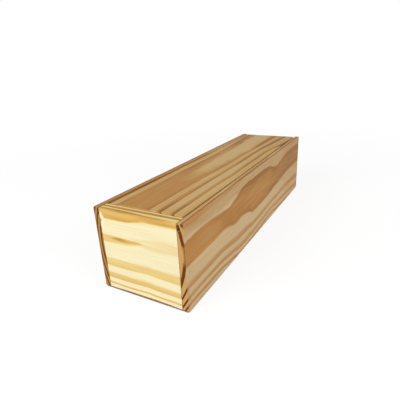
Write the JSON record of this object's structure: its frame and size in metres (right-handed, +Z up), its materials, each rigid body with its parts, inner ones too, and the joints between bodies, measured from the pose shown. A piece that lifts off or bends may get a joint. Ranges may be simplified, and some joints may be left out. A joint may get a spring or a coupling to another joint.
{
  "type": "wooden wine box",
  "caption": "Long narrow pine box for a single bottle, with a lid that slides in grooves and leaves over the low rear end board.",
  "frame": {"origin": "on the ground under the centre of the box", "axes": "+Z up, +Y along the box from the full-height front end board to the low rear end board, +X to the right seen from the front"},
  "size_m": [0.099, 0.37, 0.088],
  "materials": {
    "side_board_pine": "planed, unfinished, flat-sawn grain with dark latewood",
    "end_board_pine": "planed, unfinished, pale sapwood with straight horizontal bands",
    "bottom_pine": "planed, unfinished",
    "lid_pine": "planed, unfinished, flat-sawn grain with dark latewood",
    "brad_steel": "drawn steel wire, thinly brass plated, dull"
  },
  "bodies": {
    "box": {"side_board_left": "side_board_pine", "side_board_right": "side_board_pine", "front_end_board": "end_board_pine", "rear_end_board": "end_board_pine", "bottom_board": "bottom_pine", "front_left_brads": "brad_steel", "front_right_brads": "brad_steel", "rear_left_brads": "brad_steel", "rear_right_brads": "brad_steel", "bottom_left_brads": "brad_steel", "bottom_right_brads": "brad_steel"},
    "lid": {"sliding_lid": "lid_pine"}
  },
  "joints": [
    {"name": "lid_slide", "type": "slide", "parent": "box", "child": "lid", "axis": [0, 1, 0], "range_m": [0, 0.34]}
  ]
}
